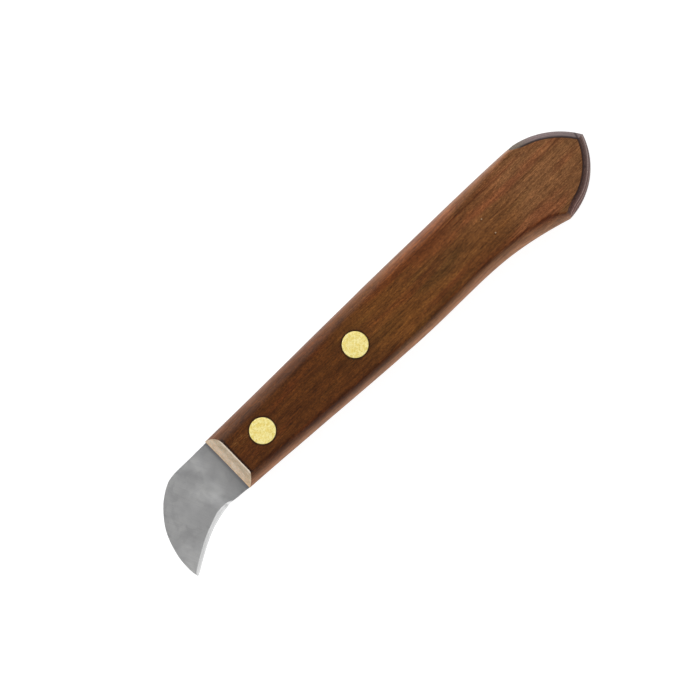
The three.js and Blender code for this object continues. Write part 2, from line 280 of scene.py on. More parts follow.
def tidy(ob):
    """Merge the hair-thin leftovers of a cut, and drop faces folded onto one another."""
    bm = bmesh.new()
    bm.from_mesh(ob.data)
    bmesh.ops.remove_doubles(bm, verts=bm.verts, dist=1e-6)
    bmesh.ops.dissolve_degenerate(bm, edges=bm.edges, dist=1e-6)
    many = [face for face in bm.faces if len(face.verts) > 4]
    bmesh.ops.triangulate(bm, faces=many, quad_method="BEAUTY", ngon_method="BEAUTY")
    same = {}
    for face in bm.faces:
        same.setdefault(frozenset(face.verts), []).append(face)
    folded = [face for faces in same.values() if len(faces) > 1 for face in faces]
    bmesh.ops.delete(bm, geom=folded, context="FACES_ONLY")
    bmesh.ops.delete(bm, geom=[e for e in bm.edges if not e.link_faces], context="EDGES")
    bmesh.ops.delete(bm, geom=[v for v in bm.verts if not v.link_edges], context="VERTS")
    bm.to_mesh(ob.data)
    bm.free()


def cut(ob, cutters, material):
    """Cut the cutters out of the object; the cut faces take the material."""
    for cutter in cutters:
        cutter.data.materials.append(material)
        m = ob.modifiers.new("cut", "BOOLEAN")
        m.operation = "DIFFERENCE"
        m.solver = "EXACT"
        m.material_mode = "TRANSFER"
        m.object = cutter
    bpy.context.view_layer.update()
    apply_modifiers(ob)
    tidy(ob)
    for cutter in cutters:
        bpy.data.objects.remove(cutter)


def shade(ob, degrees):
    ob.data.shade_smooth()
    ob.data.set_sharp_from_angle(angle=math.radians(degrees))


# ------------------------------------------------------------------ handle shape
# "height" is the share of the half thickness above the mid-plane, from 0 to 1;
# "inset" moves a line into the wood.


class ButtFace(namedtuple("ButtFace", "x y radius crown side")):
    """Arc in plan about (x, y), on its +Y or -Y side, that leans in with the height."""

    def radius_at(self, x, height, inset):
        return self.radius - self.crown(x) * height * height - inset

    def arc(self, angle, height, inset):
        """Points at angles from the middle of the arc."""
        x = self.x + self.radius * np.sin(angle)
        for _ in range(3):
            radius = self.radius_at(x, height, inset)
            x = self.x + radius * np.sin(angle)
        return x, self.y + self.side * radius * np.cos(angle)


UPPER = ButtFace(x=43.36, y=-12.53, radius=22.44, crown=line(UPPER_CROWN), side=1)
LOWER = ButtFace(x=44.17, y=4.92, radius=19.39, crown=line(LOWER_CROWN), side=-1)


def round_share(t, fullness):
    t = np.clip(t, 0, 1)
    return 1 - np.maximum(0, 1 - t**fullness) ** (1 / fullness)


def even(fullness, width, top, count):
    """Heights that cut a rounding into count - 1 pieces of equal length."""
    t = np.linspace(0, top, 4000)
    steps = np.hypot(np.diff(round_share(t, fullness) * width), np.diff(t) * HALF * 0.8)
    way = np.concatenate([[0], np.cumsum(steps)])
    return np.interp(np.linspace(0, way[-1], count), way, t)


def front_x(z):
    """Front end of the wood at a distance from the mid-plane."""
    return FRONT_X + np.maximum(0, z - BLADE_HALF) * BEVEL_RUN / (HALF - BLADE_HALF)


def lower_side(x, height, inset):
    share = round_share((height - BELLY_LAND) / (1 - BELLY_LAND), BELLY_FULLNESS)
    return belly_y(x) + belly_round(x) * share + inset


def upper_side(x, height, inset):
    return spine_y(x) - spine_round(x) * round_share(height, SPINE_FULLNESS) - inset


def soft_min(a, b, r):
    d = a - b
    return (a + b - np.sqrt(d * d + r * r)) / 2 + r / 2 * np.exp(-np.abs(d) / r)


def mitre(height, inset):
    """Where the two butt faces meet at a level."""
    x = 62.0
    dx, dy = LOWER.x - UPPER.x, LOWER.y - UPPER.y
    apart = math.hypot(dx, dy)
    for _ in range(6):
        upper_r = UPPER.radius_at(x, height, inset)
        lower_r = LOWER.radius_at(x, height, inset)
        # the two crossings of the circles; the one nearer the butt counts
        along = (upper_r * upper_r - lower_r * lower_r + apart * apart) / (2 * apart)
        off = math.sqrt(max(0, upper_r * upper_r - along * along))
        foot_x, foot_y = UPPER.x + along * dx / apart, UPPER.y + along * dy / apart
        one = (foot_x + off * dy / apart, foot_y - off * dx / apart)
        other = (foot_x - off * dy / apart, foot_y + off * dx / apart)
        x, y = one if one[0] > other[0] else other
    return x, y


def ridge_x(height, inset):
    """Where the lower side meets the lower butt face at a level."""
    x = np.linspace(43.5, 49.5, 3001)
    radius = LOWER.radius_at(x, height, inset)
    face_y = LOWER.y - np.sqrt(radius * radius - (x - LOWER.x) ** 2)
    below = np.nonzero(lower_side(x, height, inset) - face_y < 0)[0]
    # the usual place of the ridge, should the lines not cross
    return x[below[0]] if len(below) else 45.7


def spaced(count, end_step):
    """count + 1 shares from 0 to 1 with short first and last steps."""
    t = end_step + np.linspace(0, 1, count - 1) * (1 - end_step - end_step)
    return np.concatenate([[0.0], t, [1.0]])


def contour(low, high, inset):
    """Lower and upper lines of one level, whose heights by the front are low and high."""
    side = spaced(SIDE_ROWS, 0.0012)
    rim = spaced(RIM_ROWS, 0.006)[1:]
    butt = mitre(low, inset)

    # lower side and lower butt face
    z = HALF * low
    ridge = ridge_x(low, inset)
    start = front_x(z)
    x = start + (ridge - start) * side
    lower = np.stack([x, lower_side(x, low, inset), np.full_like(x, z)], 1)
    first = math.atan2(ridge - LOWER.x, LOWER.y - float(lower_side(ridge, low, inset)))
    last = math.atan2(butt[0] - LOWER.x, LOWER.y - butt[1])
    x, y = LOWER.arc(first + (last - first) * rim, low, inset)
    face = np.stack([x, y, np.full_like(x, z)], 1)
    face[-1, :2] = butt
    lower = np.concatenate([lower, face])

    # upper side and upper butt face; its heights move over to the lower ones towards the butt
    row = np.arange(SIDE_ROWS + RIM_ROWS + 1)
    heights = high + (low - high) * smoothstep(SIDE_ROWS - 26, SIDE_ROWS + 14, row)
    side_h, rim_h = heights[: SIDE_ROWS + 1], heights[SIDE_ROWS + 1 :]
    start = front_x(HALF * high)
    x = start + (TAKE_OFF_X - start) * side
    upper = np.stack([x, upper_side(x, side_h, inset), HALF * side_h], 1)
    first = math.asin((TAKE_OFF_X - UPPER.x) / UPPER.radius_at(TAKE_OFF_X, low, inset))
    last = math.atan2(butt[0] - UPPER.x, butt[1] - UPPER.y)
    x, y = UPPER.arc(first + (last - first) * rim, rim_h, inset)
    y = np.where(x < 52, soft_min(y, upper_side(x, rim_h, inset), 0.06), y)
    face = np.stack([x, y, HALF * rim_h], 1)
    face[-1] = (*butt, z)
    return lower, np.concatenate([upper, face])


def across(count):
    """Shares over the flat, closer together by its two edges."""
    edge = np.array([0, 0.006, 0.014, 0.025, 0.042, 0.068])
    inner = np.linspace(0.1, 0.9, count - 2 * len(edge) + 1)
    return np.concatenate([edge, inner, 1 - edge[::-1]])


def add_unevenness(points):
    """Slight unevenness of hand-sanded wood: in Y on the sides, in Z on the flats."""
    x, y, z = points.T
    waves = np.array([
        noise.noise(Vector((px * 0.075, py * 0.16, pz * 0.16))) * 0.7
        + noise.noise(Vector((px * 0.22 + 7, py * 0.4, pz * 0.4))) * 0.3
        for px, py, pz in points
    ])
    # up to 0.035 mm, none on the front bevels and at the butt
    size = 0.035 * smoothstep(FRONT_X + 4, FRONT_X + 10, x) * smoothstep(62, 57, x)
    side = np.clip(1 - (np.abs(z) / HALF) ** 6, 0, 1)
    middle = (belly_y(x) + spine_y(x)) / 2
    points[:, 1] += np.sign(y - middle) * side * size * waves * 1.2
    points[:, 2] += np.sign(z) * (1 - side) * size * (waves - 0.6)


def build_handle():
    # the heights are spread for typical widths of the roundings
    belly_even = even(BELLY_FULLNESS, width=2.7, top=0.972, count=LEVELS - 1)
    low = np.concatenate([[0], BELLY_LAND + (1 - BELLY_LAND) * belly_even])
    high = even(SPINE_FULLNESS, width=3.4, top=0.998, count=LEVELS)
    sides = ([], [])
    for levels in zip(low, high):
        for rows, row in zip(sides, contour(*levels, 0.0)):
            rows.append(row)
    # the rounded arris, then the edge of the flat
    for rows, corner, inner in zip(sides, contour(1.0, 1.0, 0.0), contour(1.0, 1.0, ARRIS)):
        rows.append(0.25 * rows[-1] + 0.5 * corner + 0.25 * inner)
        rows.append(inner)
    lower, upper = np.array(sides[0]), np.array(sides[1])
    # the two ends of the arris line meet on the mitre
    for k in (-2, -1):
        lower[k, -1] = upper[k, -1] = (lower[k, -1] + upper[k, -1]) / 2
    count = len(lower)
    share = across(ACROSS)[:, None, None]
    flat = lower[-1][None] * (1 - share) + upper[-1][None] * share
    front = np.empty((count, ACROSS + 1, 3))
    for k in range(count):
        row = share[:, 0] * upper[k, 0] + (1 - share[:, 0]) * lower[k, 0]
        if k < count - 2:
            row[:, 0] = front_x(row[:, 2])
        row[0], row[-1] = lower[k, 0], upper[k, 0]
        front[k] = row
    build = Builder()
    for sign in (1, -1):
        for pts, mat in ((lower, 0), (upper, 0), (flat, 0), (front, 1)):
            build.grid(pts * np.array([1, 1, sign]), mat)
    points = np.array(build.verts)
    add_unevenness(points)
    points[:, 2] += MID
    return mesh_from("wood_handle", points, build.faces, build.mats)


def kerf_cutter():
    """Slot of a circular saw fed in from the front."""
    y = np.linspace(-24, 22, 41)
    x = KERF_END - SAW_R + np.sqrt(SAW_R**2 - y * y)
    outline = [(-80.0, y[0])] + list(zip(x, y)) + [(-80.0, y[-1])]
    n = len(outline)
    verts = [(*point, MID + side * KERF_HALF) for side in (-1, 1) for point in outline]
    faces = [tuple(range(n))[::-1], tuple(range(n, 2 * n))]
    faces += [(i, (i + 1) % n, n + (i + 1) % n, n + i) for i in range(n)]
    return mesh_from("kerf_cutter", verts, faces, [0] * len(faces))


def rivet_hole(where):
    """Hole through the wood with a wider seat for each head."""
    seat_r = HEAD_R + 0.08
    seat = HEAD_T + 0.05
    bore = SHANK_R + 0.1
    profile = [
        (0, -1), (seat_r, -1), (seat_r, seat), (bore, seat),
        (bore, TOP - seat), (seat_r, TOP - seat), (seat_r, TOP + 1), (0, TOP + 1),
    ]
    return lathe(where + "_hole", profile, RIVETS[where])


# ------------------------------------------------------------------ blade shape


def ground_half(x, y):
    """Half thickness of the blade: full at the back, ground thinner towards edge and tip."""
    depth = np.maximum(0, 0.376 * (-(x + 76.1)) + 0.926 * (9.5 - y)) / 17.2
    plunge = smoothstep(68, 71.8, -x)
    return BLADE_HALF - GRIND * plunge * np.minimum(1, depth)


def blade_rows():
    """Rows from the tang to the tip: back x, y, edge x, y, bevel width, sharpness, in tang."""
    rows = []

    def tang_row(x, corner):
        inset = TANG_INSET + corner
        rows.append((x, spine_y(x) - TANG_INSET - corner, x, belly_y(x) + inset, PLAIN_WIDTH, 0, 1))

    for angle in np.radians(90 * np.linspace(0, 1, 13)):
        x = TANG_END - TANG_CORNER * (1 - math.cos(angle))
        tang_row(x, TANG_CORNER * (1 - math.sin(angle)))
    for x in np.linspace(TANG_END - TANG_CORNER - 0.6, FRONT_X + 0.8, 70):
        tang_row(x, 0)
    # shoulder between tang and ricasso
    for x, in_tang in ((FRONT_X + 0.05, 1), (FRONT_X - 0.05, 0)):
        rows.append((x, BACK_Y, x, SHOULDER_Y, PLAIN_WIDTH, 0, in_tang))
    ricasso_y = line(RICASSO)
    for x in np.linspace(-62.9, -67.7, 14):
        rows.append((x, BACK_Y, x, ricasso_y(x), PLAIN_WIDTH, 0, 0))
    shares = np.concatenate([np.linspace(0, 0.12, 16)[:-1], np.linspace(0.12, 0.994, 110)])
    width = table(BEVEL_WIDTH)
    backs, edges = by_length(BLADE_BACK, shares), by_length(BLADE_EDGE, shares)
    for back, edge, share in zip(backs, edges, shares):
        rows.append((*back, *edge, width(share), smoothstep(0, SHARP_FROM, share), 0))
    return np.array(rows, float)


def build_blade():
    rows = blade_rows()
    back, edge = rows[:, 0:2], rows[:, 2:4]
    width, sharp, in_tang = rows[:, 4:].T
    span = np.hypot(*(edge - back).T)
    over = (edge - back) / span[:, None]
    width = np.minimum(width, span * 0.55)

    def half_at(p):
        return np.where(in_tang > 0, TANG_HALF, ground_half(p[:, 0], p[:, 1]))

    columns = []       # each column: points (rows, 3)

    def column(distance, z):
        columns.append(np.column_stack([back + over * distance[:, None], z]))

    # upright back with its softened corner
    back_half = half_at(back)
    corner = np.minimum(np.minimum(STOCK_CORNER, span * 0.2), back_half * 0.5)
    column(np.zeros_like(span), np.zeros_like(span))
    column(np.zeros_like(span), back_half - corner)
    for a in np.radians([25, 50, 75]):
        column(corner * (1 - math.cos(a)), back_half - corner * (1 - math.sin(a)))
    # face from the back to the inner line of the bevel
    inner = span - width
    for share in (0, 0.004, 0.016, *np.linspace(0.06, 0.94, 17), 0.984, 0.996, 1):
        distance = corner + (inner - corner) * share
        column(distance, half_at(back + over * distance[:, None]))
    # from there to the edge: a ground bevel, or a plain softened corner
    inner_half = half_at(back + over * inner[:, None])
    turn = 0.85        # share where the plain corner starts to round
    for share in (0.04, 0.3, 0.6, 0.85, 0.95, 1.0):
        ground = inner + width * share
        ground_z = inner_half + (EDGE_HALF - inner_half) * (share ** 1.06)
        if share < turn:
            soft = inner + (width - corner) * (share / turn)
            soft_z = half_at(back + over * soft[:, None])
        else:
            a = math.radians(90 * (share - turn) / 0.15)
            soft = span - corner + corner * math.sin(a)
            soft_z = half_at(edge) - corner * (1 - math.cos(a))
        column(ground * sharp + soft * (1 - sharp), ground_z * sharp + soft_z * (1 - sharp))
    top = np.stack(columns, 1)                   # rows, columns, 3
    mirror = np.array([1, 1, -1])
    under = top[:, ::-1] * mirror
    build = Builder()
    build.grid(np.concatenate([top, under[:, :-1], top[:, :1]], 1))
    for row in (top[0], top[-1]):                # end of the tang, and the very tip
        base, n = len(build.verts), len(row)
        build.verts.extend(row.tolist() + (row * mirror).tolist())
        # the first point lies on the mid-plane and is its own mirror image
        faces = [(0, 1, 2), (0, 2, n + 2), (0, n + 2, n + 1)]
        faces += [(i, i + 1, n + i + 1, n + i) for i in range(2, n - 1)]
        build.faces += [tuple(base + i for i in face) for face in faces]
        build.mats += [0] * len(faces)
    points = np.array(build.verts)
    points[:, 2] += MID
    return mesh_from("steel_blade", points, build.faces, build.mats)


def tang_hole(where):
    radius = SHANK_R + 0.15
    profile = [(0, -1), (radius, -1), (radius, 12), (0, 12)]
    return lathe(where + "_tang_hole", profile, RIVETS[where])


# ------------------------------------------------------------------ rivets


def head_profile():
    """Sanded head: almost flat, with a slightly broken corner."""
    radii = (0, 0.5, 1, 1.5, 2, 2.5, 2.9, 3.2, 3.36)
    face = [(r, 0.018 * (r / HEAD_R) ** 2) for r in radii]
    corner = [(3.43, 0.035), (3.475, 0.075), (HEAD_R, 0.14)]
    return face + corner + [(HEAD_R, 0.5), (HEAD_R, HEAD_T - 0.1), (HEAD_R - 0.1, HEAD_T)]


def build_rivet(where):
    """Tube half with its head below, and pin half with its head above."""
    tube = head_profile() + [
        (2.6, HEAD_T), (SHANK_R + 0.08, HEAD_T), (SHANK_R, HEAD_T + 0.08), (SHANK_R, 3.5),
        (SHANK_R, 6.5), (SHANK_R, SHANK_TOP - 0.15), (SHANK_R - 0.15, SHANK_TOP),
        (BORE_R + 0.1, SHANK_TOP), (BORE_R, SHANK_TOP - 0.1), (BORE_R, 5.0), (BORE_R, 1.6),
        (0.7, 1.25), (0, 1.1),
    ]
    pin = head_profile() + [
        (2.4, HEAD_T), (PIN_R + 0.08, HEAD_T), (PIN_R, HEAD_T + 0.08), (PIN_R, 4.0),
        (PIN_R, PIN_END - 0.4), (PIN_R - 0.15, PIN_END - 0.12), (PIN_R - 0.4, PIN_END),
        (0.5, PIN_END), (0, PIN_END),
    ]
    centre = RIVETS[where]
    return (
        lathe(where + "_rivet_tube_half", tube, centre, segments=128),
        lathe(where + "_rivet_pin_half", pin, centre, z0=TOP, segments=128, flip=True),
    )


# ------------------------------------------------------------------ material helpers


def rgb(*srgb):
    """Linear colour from 0..255 sRGB."""
    out = []
    for x in srgb:
        x = x / 255
        out.append(x / 12.92 if x <= 0.04045 else ((x + 0.055) / 1.055) ** 2.4)
    return (*out, 1.0)


def grey(level):
    return (level, level, level)


class Shader:
    """Short hand for building a material's node tree; positions are in mm."""

    INPUTS = dict(color="Base Color", rough="Roughness", metal="Metallic", normal="Normal",
                  ior="IOR", spec="Specular IOR Level")

    def __init__(self, name):
        self.mat = bpy.data.materials.new(name)
        self.mat.use_nodes = True
        self.tree = self.mat.node_tree
        self.tree.nodes.clear()
        self.out = self.node("OutputMaterial")
        self.bsdf = self.node("BsdfPrincipled")
        self.tree.links.new(self.bsdf.outputs[0], self.out.inputs[0])
        self.mm = self.vec("SCALE", self.node("TexCoord").outputs["Object"], scale=1000.0)
        self.x, self.y, self.z = self.split(self.mm)

    def node(self, kind, inputs=(), **props):
        """New node; inputs are (name or index, value or socket) pairs."""
        node = self.tree.nodes.new("ShaderNode" + kind)
        for name, value in props.items():
            setattr(node, name, value)
        for name, value in inputs:
            self.put(node.inputs[name], value)
        return node

    def put(self, socket, value):
        if isinstance(value, bpy.types.NodeSocket):
            self.tree.links.new(value, socket)
        else:
            socket.default_value = value

    def split(self, vector):
        return self.node("SeparateXYZ", [(0, vector)]).outputs

    def vec(self, op, a, b=None, scale=None):
        inputs = [(0, a)]
        if b is not None:
            inputs.append((1, b))
        if scale is not None:
            inputs.append(("Scale", scale))
        node = self.node("VectorMath", inputs, operation=op)
        return node.outputs["Value" if op in ("DISTANCE", "DOT_PRODUCT") else 0]

    def math(self, op, *values, clamp=False):
        return self.node("Math", enumerate(values), operation=op, use_clamp=clamp).outputs[0]

    def plus(self, a, b, clamp=False):
        return self.math("ADD", a, b, clamp=clamp)

    def minus(self, a, b):
        return self.math("SUBTRACT", a, b)

    def times(self, a, b):
        return self.math("MULTIPLY", a, b)

    def weighted(self, base, *parts):
        """Base plus each pattern times its weight."""
        for pattern, weight in parts:
            base = self.plus(base, self.times(pattern, weight))
        return base

    def swayed(self, value, pattern, amount, clamp=False):
        """Value moved to and fro by a pattern centred on 0.5."""
        return self.plus(value, self.times(self.minus(pattern, 0.5), amount), clamp)

    def from_mid(self):
        """Height away from the mid-plane, up or down."""
        return self.math("ABSOLUTE", self.minus(self.z, MID))

    def stretch(self, scale, offset=(0, 0, 0), at=None):
        return self.vec("ADD", self.vec("MULTIPLY", at or self.mm, scale), offset)

    def noise(self, scale, offset, detail, rough, distortion=0.0, at=None, output=0):
        """Noise with its own frequency per mm along x, y and z."""
        return self.node("TexNoise", [
            ("Vector", self.stretch(scale, offset, at)), ("Scale", 1), ("Detail", detail),
            ("Roughness", rough), ("Distortion", distortion),
        ]).outputs[output]

    def noises(self, rows, at=None):
        """One noise per row: scale along x, y, z; offset; detail; roughness; distortion."""
        return [self.noise(*row, at=at) for row in rows]

    def cells(self, scale, offset=(0, 0, 0), at=None):
        """Distance from the nearest of scattered points."""
        inputs = [("Vector", self.stretch(scale, offset, at)), ("Scale", 1), ("Randomness", 1.0)]
        return self.node("TexVoronoi", inputs, feature="F1").outputs["Distance"]

    def bent(self, scale, amount):
        """Position moved about by a slow noise, up to half the amount each way."""
        drift = self.noise(scale, (0, 0, 0), 2, 0.5, output="Color")
        drift = self.vec("MULTIPLY", self.vec("SUBTRACT", drift, grey(0.5)), amount)
        return self.vec("ADD", self.mm, drift)

    def turned(self, degrees):
        """Position turned about Z."""
        inputs = [("Vector", self.mm), ("Angle", math.radians(degrees))]
        return self.node("VectorRotate", inputs, rotation_type="Z_AXIS").outputs[0]

    def distance(self, point, scale, at=None):
        """Distance from a point given in scaled coordinates."""
        return self.vec("DISTANCE", self.stretch(scale, at=at), point)

    def from_line(self, start, end, at=None):
        """Distance in plan from the straight line between two points."""
        dx, dy = end[0] - start[0], end[1] - start[1]
        size = math.hypot(dx, dy)
        way = (dx / size, dy / size, 0)
        rel = self.vec("SUBTRACT", self.vec("MULTIPLY", at or self.mm, (1, 1, 0)), (*start, 0))
        t = self.math("MAXIMUM", self.vec("DOT_PRODUCT", rel, way), 0.0)
        t = self.math("MINIMUM", t, size)
        return self.vec("DISTANCE", rel, self.vec("SCALE", way, scale=t))

    def ramp(self, value, start, end, low=0.0, high=1.0, smooth=True):
        """Low up to the start value, high from the end value on."""
        inputs = [("Value", value), ("From Min", start), ("From Max", end),
                  ("To Min", low), ("To Max", high)]
        kind = "SMOOTHSTEP" if smooth else "LINEAR"
        return self.node("MapRange", inputs, interpolation_type=kind, clamp=True).outputs[0]

    def band(self, value, rise, fall):
        """Product of two ramps of one value."""
        return self.times(self.ramp(value, *rise), self.ramp(value, *fall))

    def mix(self, factor, a, b, mode="MIX"):
        return self.node("Mix", [(0, factor), (6, a), (7, b)], data_type="RGBA",
                         blend_type=mode, clamp_factor=True).outputs[2]

    def tint(self, color, tint, factor=1.0):
        """Colour multiplied by the tint, as far as the factor says."""
        return self.mix(factor, color, self.mix(1.0, color, (*tint, 1), "MULTIPLY"))

    def tints(self, color, rows):
        """Tints one after another: value, tint, then the ramp of the value that brings it in."""
        for value, tint, *span in rows:
            color = self.tint(color, tint, self.ramp(value, *span))
        return color

    def colors(self, value, stops):
        node = self.node("ValToRGB", [(0, value)])
        elements = node.color_ramp.elements
        while len(elements) < len(stops):
            elements.new(0.5)
        for k, (position, color) in enumerate(stops):
            elements[k].position = position
            elements[k].color = rgb(*color)
        return node.outputs[0]

    def attr(self, name):
        return self.node("Attribute", attribute_name=name).outputs["Fac"]

    def bump(self, height, depth, strength, normal=None):
        """Normal from a height pattern whose depth is in mm."""
        inputs = [("Height", height), ("Distance", depth * MM), ("Strength", strength)]
        if normal is not None:
            inputs.append(("Normal", normal))
        return self.node("Bump", inputs).outputs[0]

    def finish(self, **values):
        for name, value in values.items():
            self.put(self.bsdf.inputs[self.INPUTS[name]], value)
        return self.mat


# ------------------------------------------------------------------ wood

# stain from the blade end to the butt: share of the way, sRGB
STAIN = [
    (0.0, (76, 42, 15)), (0.36, (79, 44, 15)), (0.52, (100, 60, 24)),
    (0.72, (102, 63, 30)), (0.86, (119, 79, 47)),
]


def grain(mat):
    """Slowly bending position along the grain, with the streaks and fine fibres on it."""
    bent = mat.bent(scale=(0.02, 0.05, 0.05), amount=(0, 4.0, 4.0))
    return bent, *mat.noises([
        ((0.060, 1.30, 1.00), (11, 2, 0), 4, 0.62),
        ((0.24, 4.2, 3.5), (0, 31, 9), 3, 0.65),
    ], at=bent)


def layers(mat, distance, period, shift, sway, bend):
    """Growth layers, -1 to 1, that repeat every period mm and are bent by the sway."""
    turns = mat.plus(mat.times(distance, 2 * math.pi / period), shift)
    return mat.math("SINE", mat.weighted(turns, (sway, bend)))


def upper_end_grain_and_sheen(mat, color, rim, level, sway, speck):
    """Grey brown upper butt face with a near black arris line; the grey is a painted reflection
    over the end grain.
    """
    lines = layers(mat, level, period=1.3, shift=0.0, sway=sway, bend=12.0)
    # painted reflection: a grey lavender sheen over the dark end grain
    end = mat.mix(mat.ramp(lines, -0.7, 0.8), rgb(96, 80, 80), rgb(111, 95, 94))
    # browner and speckled towards the spine
    brown = mat.mix(mat.ramp(speck, 0.35, 0.65), rgb(80, 68, 58), rgb(106, 96, 85))
    end = mat.mix(mat.ramp(mat.x, 53.0, 48.0), end, brown)
    end = mat.tints(end, [
        (rim, grey(0.80), 0.90, 0.45),
        (mat.x, (0.90, 0.93, 0.91), 55.0, 60.0),
        (speck, (0.76, 0.74, 0.74), 0.48, 0.30),
    ])
    edge = mat.times(mat.band(rim, (-0.26, -0.04), (0.46, 0.16)), mat.ramp(mat.x, 47.2, 49.4))
    color = mat.mix(mat.ramp(rim, -0.04, 0.10), color, end)
    return mat.mix(mat.times(edge, 0.96), color, rgb(30, 15, 13))


def lower_end_grain(mat, color, rim, level, sway, speck):
    """Layered lower butt face with a dark arris line."""
    depth = mat.attr("rim_depth")
    lines = layers(mat, depth, period=0.54, shift=-2.6, sway=sway, bend=2.0)
    lines = mat.times(lines, mat.ramp(mat.math("ABSOLUTE", level), 0.9, 1.8))
    end = mat.mix(mat.ramp(lines, -0.4, 0.7), rgb(92, 66, 61), rgb(123, 96, 89))
    # palest on the crests of the layers, darkest on the innermost part
    crest = mat.times(mat.ramp(lines, 0.35, 0.90), mat.ramp(sway, 0.35, 0.60, 0.45, 0.80))
    pale = mat.mix(mat.ramp(speck, 0.35, 0.60), rgb(116, 90, 84), rgb(176, 154, 144))
    end = mat.mix(crest, end, pale)
    inner = mat.mix(mat.ramp(speck, 0.35, 0.65), rgb(58, 33, 27), rgb(84, 55, 46))
    end = mat.mix(mat.ramp(depth, 1.08, 0.82), end, inner)
    end = mat.tints(end, [
        (mat.x, (1.10, 0.94, 0.88), 53.0, 46.5),
        (mat.x, (1.00, 1.10, 1.12), 54.0, 60.0),
        (speck, (0.70, 0.66, 0.66), 0.48, 0.30),
        # painted shade: darker and purplish towards mid-height, along the outline
        (mat.from_mid(), (0.88, 0.82, 0.84), 2.0, 0.9),
    ])
    edge = mat.times(mat.band(depth, (-0.24, -0.02), (0.50, 0.20)), mat.ramp(mat.x, 46.2, 51.0))
    color = mat.mix(mat.ramp(rim, -0.03, 0.22), color, end)
    return mat.mix(mat.times(edge, 0.85), color, rgb(36, 19, 17))


def small_marks(mat, color, dust, hair):
    """Painted glints on two dents, a scuff by the spine, and the painted shadow line and scratches
    at the front.
    """
    # two tiny pale specks, painted glints on small dents, each with a darker spot beside it
    squash = 1.3
    for x, y in ((28.6, 1.47), (28.76, -3.56)):
        dent_glint = mat.distance((x, y * squash, TOP), scale=(1, squash, 1))
        color = mat.mix(mat.ramp(dent_glint, 0.26, 0.10, 0, 0.8), color, rgb(196, 172, 140))
        spot = mat.distance((x - 0.28, y * squash - 0.25, TOP), scale=(1, squash, 1))
        color = mat.tint(color, (0.5, 0.45, 0.45), mat.ramp(spot, 0.42, 0.15))
    scuff = mat.swayed(mat.from_line((42.9, 9.22), (44.9, 8.95)), dust, 0.3)
    above = mat.band(mat.z, (MID, MID + 0.8), (MID + 3.4, MID + 2.0))
    scuff = mat.times(mat.ramp(scuff, 0.28, 0.06, 0, 0.66), above)
    color = mat.mix(scuff, color, rgb(206, 162, 128))
    # painted shadow: a dark line on the stained flat just behind the front arris
    behind = mat.ramp(mat.minus(mat.x, FRONT_X + BEVEL_RUN), 0.80, 0.42)
    arris_shadow = mat.times(behind, mat.ramp(mat.from_mid(), HALF - 0.5, HALF - 0.15))
    color = mat.mix(mat.times(arris_shadow, 0.88), color, rgb(34, 15, 6))
    # short golden scratches just behind it
    zone = mat.distance((-16.6, 3.9, 0), scale=(0.30, 1.0, 0.0))
    hair = mat.times(mat.ramp(hair, 0.54, 0.66), mat.ramp(zone, 1.5, 0.6))
    return mat.mix(mat.times(hair, 0.65), color, rgb(150, 104, 56))


